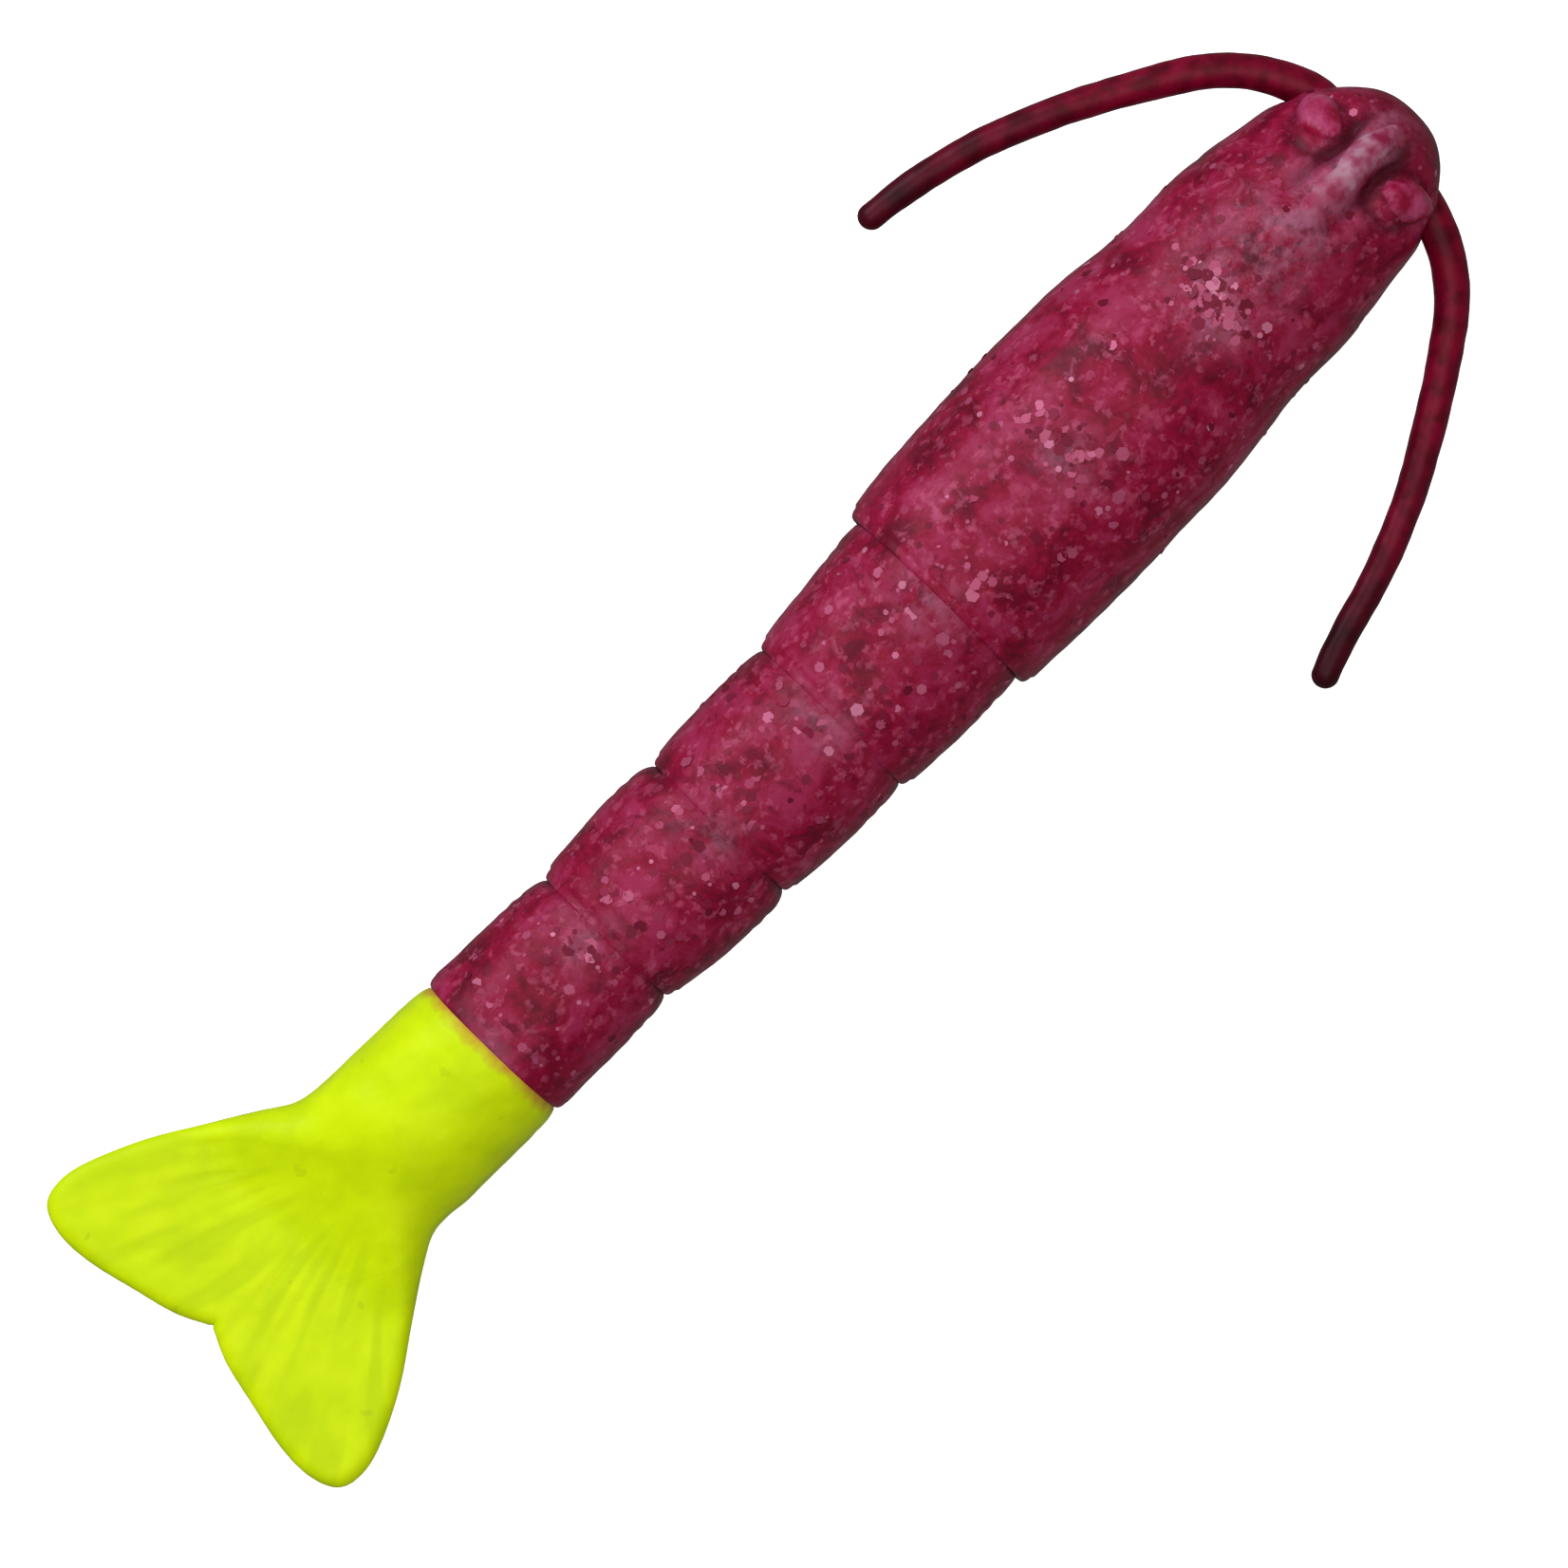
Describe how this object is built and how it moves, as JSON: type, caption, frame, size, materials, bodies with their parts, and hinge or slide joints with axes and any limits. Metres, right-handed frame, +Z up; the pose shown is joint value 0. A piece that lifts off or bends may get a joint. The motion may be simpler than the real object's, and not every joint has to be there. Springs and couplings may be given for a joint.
{
  "type": "shrimp-shaped soft plastic bait",
  "caption": "Shrimp-shaped soft plastic fishing bait: ringed glittery crimson body, swept-back antennae and eyes, and a chartreuse tail with a forked fan; rings, lobes and antennae flex.",
  "frame": {"origin": "on the belly flat, below the widest point of the carapace", "axes": "+X along the body towards the snout, +Y to the bait's left, +Z up through the back"},
  "size_m": [0.089, 0.0339, 0.0112],
  "materials": {
    "crimson": "glossy soft plastisol, crimson to plum, full of fine pink glitter",
    "chartreuse": "glossy soft plastisol, bright chartreuse, slightly translucent",
    "antenna_crimson": "glossy soft plastisol, dark crimson fading to almost black at the tips",
    "pink_highlight": "glossy soft plastisol, paler where it is thin or raised",
    "glitter": "metallised film flakes, pink, bright"
  },
  "bodies": {
    "carapace_body": {"head": "crimson", "carapace": "crimson", "rostrum": "pink_highlight", "eye_left": "pink_highlight", "eye_right": "pink_highlight", "antenna_base_left": "antenna_crimson", "antenna_base_right": "antenna_crimson", "glitter_carapace": "glitter"},
    "abdomen_1": {"abdomen_1": "crimson", "glitter_abdomen_1": "glitter"},
    "abdomen_2": {"abdomen_2": "crimson", "glitter_abdomen_2": "glitter"},
    "abdomen_3": {"abdomen_3": "crimson", "glitter_abdomen_3": "glitter"},
    "abdomen_4": {"abdomen_4": "crimson", "glitter_abdomen_4": "glitter"},
    "tail_segment": {"tail_segment": "chartreuse"},
    "tail_fan": {"tail_fan_base": "chartreuse"},
    "fin_left": {"fin_left": "chartreuse"},
    "fin_right": {"fin_right": "chartreuse"},
    "antenna_left_root": {"antenna_left_root": "antenna_crimson"},
    "antenna_left_mid": {"antenna_left_mid": "antenna_crimson"},
    "antenna_left_tip": {"antenna_left_tip": "antenna_crimson"},
    "antenna_right_root": {"antenna_right_root": "antenna_crimson"},
    "antenna_right_mid": {"antenna_right_mid": "antenna_crimson"},
    "antenna_right_tip": {"antenna_right_tip": "antenna_crimson"}
  },
  "joints": [
    {"name": "neck_sway", "type": "hinge", "parent": "carapace_body", "child": "abdomen_1", "pos_m": [-0.0082, 0, 0.0046], "axis": [0, 0, 1], "range_deg": [-15, 15], "stiffness_Nm_per_rad": 0.02},
    {"name": "waist_bend", "type": "hinge", "parent": "abdomen_1", "child": "abdomen_2", "pos_m": [-0.0162, 0, 0.0046], "axis": [0, 1, 0], "range_deg": [-18, 18], "stiffness_Nm_per_rad": 0.015},
    {"name": "waist_sway", "type": "hinge", "parent": "abdomen_2", "child": "abdomen_3", "pos_m": [-0.0242, 0, 0.0046], "axis": [0, 0, 1], "range_deg": [-18, 18], "stiffness_Nm_per_rad": 0.015},
    {"name": "tail_bend", "type": "hinge", "parent": "abdomen_3", "child": "abdomen_4", "pos_m": [-0.0322, 0, 0.0046], "axis": [0, 1, 0], "range_deg": [-18, 18], "stiffness_Nm_per_rad": 0.012},
    {"name": "tail_sway", "type": "hinge", "parent": "abdomen_4", "child": "tail_segment", "pos_m": [-0.0402, 0, 0.0046], "axis": [0, 0, 1], "range_deg": [-18, 18], "stiffness_Nm_per_rad": 0.012},
    {"name": "fan_kick", "type": "hinge", "parent": "tail_segment", "child": "tail_fan", "pos_m": [-0.0494, 0, 0.0046], "axis": [0, 1, 0], "range_deg": [-25, 25], "stiffness_Nm_per_rad": 0.004},
    {"name": "fin_left_fold", "type": "hinge", "parent": "tail_fan", "child": "fin_left", "pos_m": [-0.052, 0.0052, 0.0046], "axis": [0.8966, 0.4429, 0], "range_deg": [-20, 20], "stiffness_Nm_per_rad": 0.0008},
    {"name": "fin_right_fold", "type": "hinge", "parent": "tail_fan", "child": "fin_right", "pos_m": [-0.052, -0.0052, 0.0046], "axis": [-0.8966, 0.4429, 0], "range_deg": [-20, 20], "stiffness_Nm_per_rad": 0.0008},
    {"name": "antenna_left_swing", "type": "hinge", "parent": "carapace_body", "child": "antenna_left_root", "pos_m": [0.0233, 0.0049, 0.0046], "axis": [0, 0, -1], "range_deg": [-12, 25], "stiffness_Nm_per_rad": 0.0006},
    {"name": "antenna_left_lift", "type": "hinge", "parent": "antenna_left_root", "child": "antenna_left_mid", "pos_m": [0.0198, 0.00922, 0.0046], "axis": [0.5446, 0.8387, 0], "range_deg": [-20, 30], "stiffness_Nm_per_rad": 0.0005},
    {"name": "antenna_left_curl", "type": "hinge", "parent": "antenna_left_mid", "child": "antenna_left_tip", "pos_m": [0.01342, 0.01283, 0.0046], "axis": [0, 0, -1], "range_deg": [-15, 20], "stiffness_Nm_per_rad": 0.0003},
    {"name": "antenna_right_swing", "type": "hinge", "parent": "carapace_body", "child": "antenna_right_root", "pos_m": [0.0233, -0.0049, 0.0046], "axis": [0, 0, 1], "range_deg": [-12, 25], "stiffness_Nm_per_rad": 0.0006},
    {"name": "antenna_right_lift", "type": "hinge", "parent": "antenna_right_root", "child": "antenna_right_mid", "pos_m": [0.01995, -0.00934, 0.0046], "axis": [-0.5736, 0.8192, 0], "range_deg": [-20, 30], "stiffness_Nm_per_rad": 0.0005},
    {"name": "antenna_right_curl", "type": "hinge", "parent": "antenna_right_mid", "child": "antenna_right_tip", "pos_m": [0.01371, -0.01317, 0.0046], "axis": [0, 0, 1], "range_deg": [-15, 20], "stiffness_Nm_per_rad": 0.0003}
  ]
}
